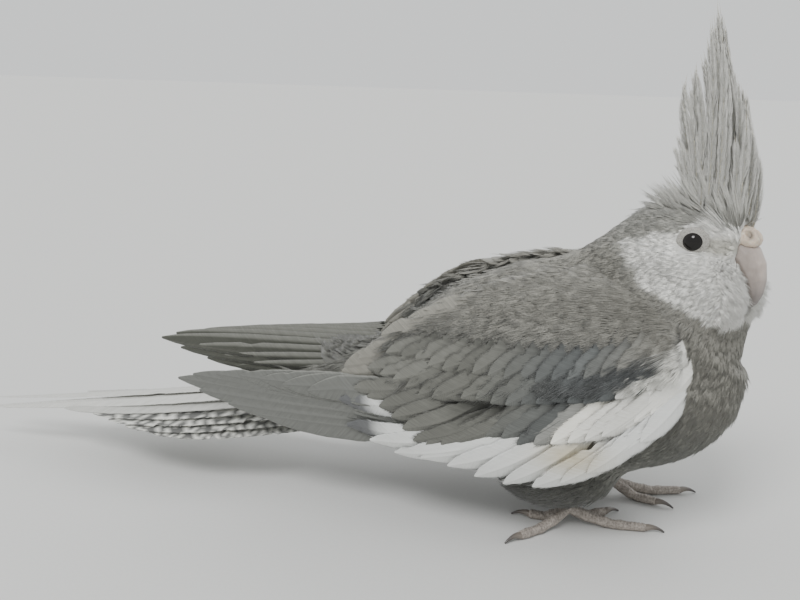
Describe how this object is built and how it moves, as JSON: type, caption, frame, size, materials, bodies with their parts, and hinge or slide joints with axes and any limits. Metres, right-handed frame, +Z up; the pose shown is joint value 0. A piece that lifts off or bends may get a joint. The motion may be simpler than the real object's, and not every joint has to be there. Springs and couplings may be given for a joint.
{
  "type": "life-size cockatiel model",
  "caption": "Life-size still model of a whiteface grey cockatiel standing low on both feet with its crest raised and its head turned a little to its right.",
  "frame": {"origin": "centre of the bounding box at floor level", "axes": "+X towards the breast, +Y to the bird's left, +Z up"},
  "size_m": [0.2854, 0.0882, 0.1697],
  "materials": {
    "plumage_grey": "soft matt feather",
    "plumage_white": "soft matt feather",
    "flight_feathers": "smooth satin feather",
    "bill": "smooth horn with a soft sheen",
    "cere_skin": "matt bare skin",
    "eye": "wet and glossy",
    "foot_skin": "dry scaly skin",
    "claw": "smooth dark horn"
  },
  "bodies": {
    "root": {"torso": "plumage_grey", "neck": "plumage_grey", "head": "plumage_white", "crest": "plumage_grey", "cere": "cere_skin", "bill_upper": "bill", "bill_lower": "bill", "eye_right": "eye", "eye_left": "eye", "wing_right": "plumage_grey", "wing_left": "plumage_grey", "tail": "flight_feathers", "thigh_right": "plumage_grey", "thigh_left": "plumage_grey", "foot_right": "foot_skin", "foot_left": "foot_skin", "claw_right_1": "claw", "claw_right_2": "claw", "claw_right_3": "claw", "claw_right_4": "claw", "claw_left_1": "claw", "claw_left_2": "claw", "claw_left_3": "claw", "claw_left_4": "claw"}
  },
  "joints": []
}
